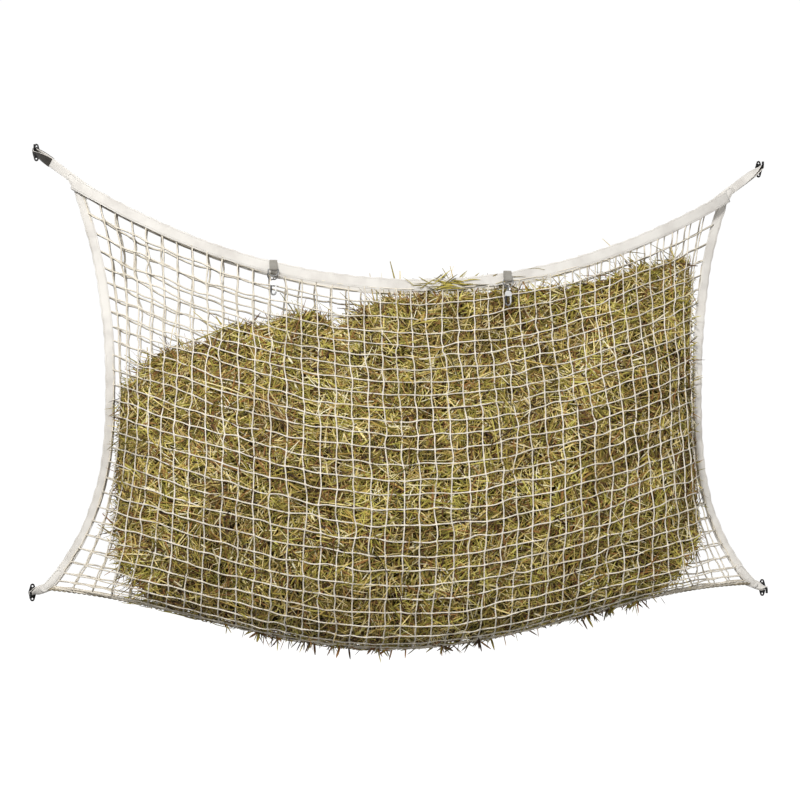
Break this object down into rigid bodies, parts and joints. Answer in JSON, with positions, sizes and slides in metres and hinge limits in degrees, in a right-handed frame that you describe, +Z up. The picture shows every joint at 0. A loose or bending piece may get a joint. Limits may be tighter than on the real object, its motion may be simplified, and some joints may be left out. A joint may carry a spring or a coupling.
{
  "type": "hay net",
  "caption": "Filled pocket hay net hung flat on a wall by webbing loops over black hook plates, with snap hooks at its mouth.",
  "frame": {"origin": "middle of the rectangle of the four plates' upper screw holes, on the wall plane", "axes": "+X right along the wall seen from the front, +Y into the wall, +Z up"},
  "size_m": [1.926, 0.2988, 1.2894],
  "materials": {
    "net_cord": "matt knotless cord",
    "webbing": "woven webbing",
    "rope": "doubled cord",
    "dark_webbing": "woven webbing",
    "black_paint": "satin black powder coat",
    "hay": "dry meadow hay",
    "spring_steel": "plain wire",
    "steel": "zinc plated"
  },
  "bodies": {
    "net": {"back_net": "net_cord", "bottom_left_corner_patch": "webbing", "bottom_left_hook_plate": "black_paint", "bottom_left_loop": "webbing", "bottom_right_corner_patch": "webbing", "bottom_right_hook_plate": "black_paint", "bottom_right_loop": "webbing", "bottom_rope": "rope", "front_net": "net_cord", "hay_fill": "hay", "left_back_ring_tab": "webbing", "left_front_ring_tab": "webbing", "left_side_band": "webbing", "right_back_ring_tab": "webbing", "right_front_ring_tab": "webbing", "right_side_band": "webbing", "top_back_band": "webbing", "top_front_band": "webbing", "top_left_corner_patch": "webbing", "top_left_hook_plate": "black_paint", "top_left_loop": "webbing", "top_left_loop_sleeve": "dark_webbing", "top_right_corner_patch": "webbing", "top_right_hook_plate": "black_paint", "top_right_loop": "webbing"},
    "left_front_ring": {"left_front_d_ring": "steel"},
    "left_eye": {"left_front_swivel_eye": "steel"},
    "left_snap": {"left_front_snap_body": "steel", "left_front_gate_pin": "steel", "left_front_gate_spring": "spring_steel"},
    "left_gate": {"left_front_gate": "steel"},
    "left_back_ring": {"left_back_d_ring": "steel"},
    "right_front_ring": {"right_front_d_ring": "steel"},
    "right_eye": {"right_front_swivel_eye": "steel"},
    "right_snap": {"right_front_snap_body": "steel", "right_front_gate_pin": "steel", "right_front_gate_spring": "spring_steel"},
    "right_gate": {"right_front_gate": "steel"},
    "right_back_ring": {"right_back_d_ring": "steel"}
  },
  "joints": [
    {"name": "left_front_ring_tilt", "type": "hinge", "parent": "net", "child": "left_front_ring", "pos_m": [-0.35, -0.10379, 0.24006], "axis": [-1, 0, 0], "range_deg": [0, 95]},
    {"name": "left_eye_swing", "type": "hinge", "parent": "left_front_ring", "child": "left_eye", "pos_m": [-0.35, -0.10379, 0.22306], "axis": [-1, 0, 0], "range_deg": [0, 70]},
    {"name": "left_snap_swivel", "type": "hinge", "parent": "left_eye", "child": "left_snap", "pos_m": [-0.35, -0.10379, 0.21174], "axis": [0, 0, 1], "continuous": true},
    {"name": "left_gate_open", "type": "hinge", "parent": "left_snap", "child": "left_gate", "pos_m": [-0.344, -0.10379, 0.20224], "axis": [0, 1, 0], "range_deg": [0, 24], "stiffness_Nm_per_rad": 0.02, "springref_deg": -17.19},
    {"name": "left_back_ring_tilt", "type": "hinge", "parent": "net", "child": "left_back_ring", "pos_m": [-0.35, -0.0338, 0.24006], "axis": [-1, 0, 0], "range_deg": [0, 60]},
    {"name": "right_front_ring_tilt", "type": "hinge", "parent": "net", "child": "right_front_ring", "pos_m": [0.247, -0.12624, 0.21845], "axis": [-1, 0, 0], "range_deg": [0, 95]},
    {"name": "right_eye_swing", "type": "hinge", "parent": "right_front_ring", "child": "right_eye", "pos_m": [0.247, -0.12624, 0.20145], "axis": [-1, 0, 0], "range_deg": [0, 70]},
    {"name": "right_snap_swivel", "type": "hinge", "parent": "right_eye", "child": "right_snap", "pos_m": [0.247, -0.12624, 0.19013], "axis": [0, 0, 1], "continuous": true},
    {"name": "right_gate_open", "type": "hinge", "parent": "right_snap", "child": "right_gate", "pos_m": [0.253, -0.12624, 0.18063], "axis": [0, 1, 0], "range_deg": [0, 24], "stiffness_Nm_per_rad": 0.02, "springref_deg": -17.19},
    {"name": "right_back_ring_tilt", "type": "hinge", "parent": "net", "child": "right_back_ring", "pos_m": [0.247, -0.03372, 0.21845], "axis": [-1, 0, 0], "range_deg": [0, 60]}
  ]
}
